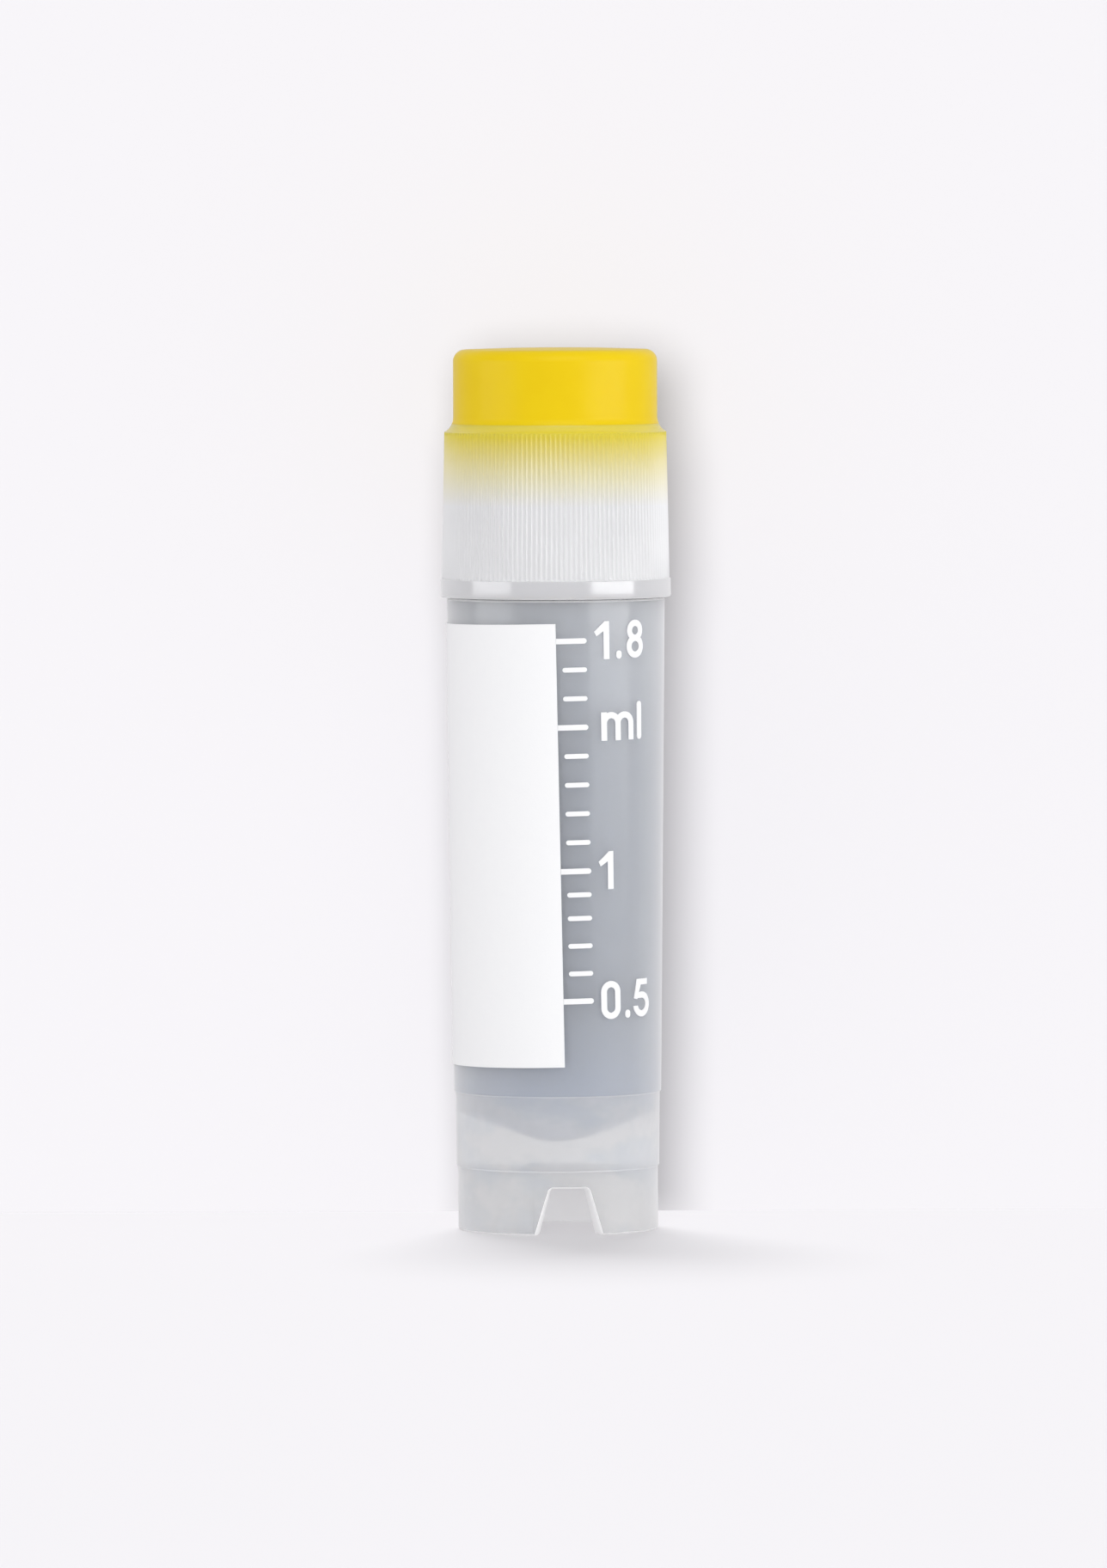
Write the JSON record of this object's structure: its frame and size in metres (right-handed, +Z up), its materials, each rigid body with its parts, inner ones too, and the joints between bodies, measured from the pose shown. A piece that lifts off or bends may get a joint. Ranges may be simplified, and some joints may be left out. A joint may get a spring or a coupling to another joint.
{
  "type": "cryovial",
  "caption": "Self-standing cryogenic storage vial with an external-thread screw cap, colour-coded cap insert, silicone washer, printed writing panel and volume scale.",
  "frame": {"origin": "on the vial's axis, in the plane that the foot ring stands on", "axes": "+Z up along the axis towards the cap; -Y is the front, where the volume scale is printed; +X is to the right of the scale"},
  "size_m": [0.0125, 0.0124, 0.048],
  "materials": {
    "body_polypropylene": "translucent natural polypropylene, smooth with a soft sheen",
    "cap_polypropylene": "translucent natural polypropylene, finely fluted",
    "yellow_polypropylene": "opaque moulded polypropylene with a satin sheen",
    "silicone": "milky silicone rubber",
    "white_ink": "screen-printed matt white ink"
  },
  "bodies": {
    "vial": {"vial_body": "body_polypropylene", "writing_panel": "white_ink", "volume_scale": "white_ink"},
    "seal": {"sealing_washer": "silicone"},
    "cap": {"cap_shell": "cap_polypropylene", "cap_insert": "yellow_polypropylene"}
  },
  "joints": [
    {"name": "cap_lift", "type": "slide", "parent": "vial", "child": "seal", "axis": [0, 0, 1], "range_m": [0, 0.0102]},
    {"name": "cap_turn", "type": "hinge", "parent": "seal", "child": "cap", "pos_m": [0, 0, 0.0402], "axis": [0, 0, 1], "range_deg": [0, 1080]}
  ],
  "couplings": [
    {"joint": "cap_turn", "follows": "cap_lift", "rad_per_m": 1848}
  ]
}
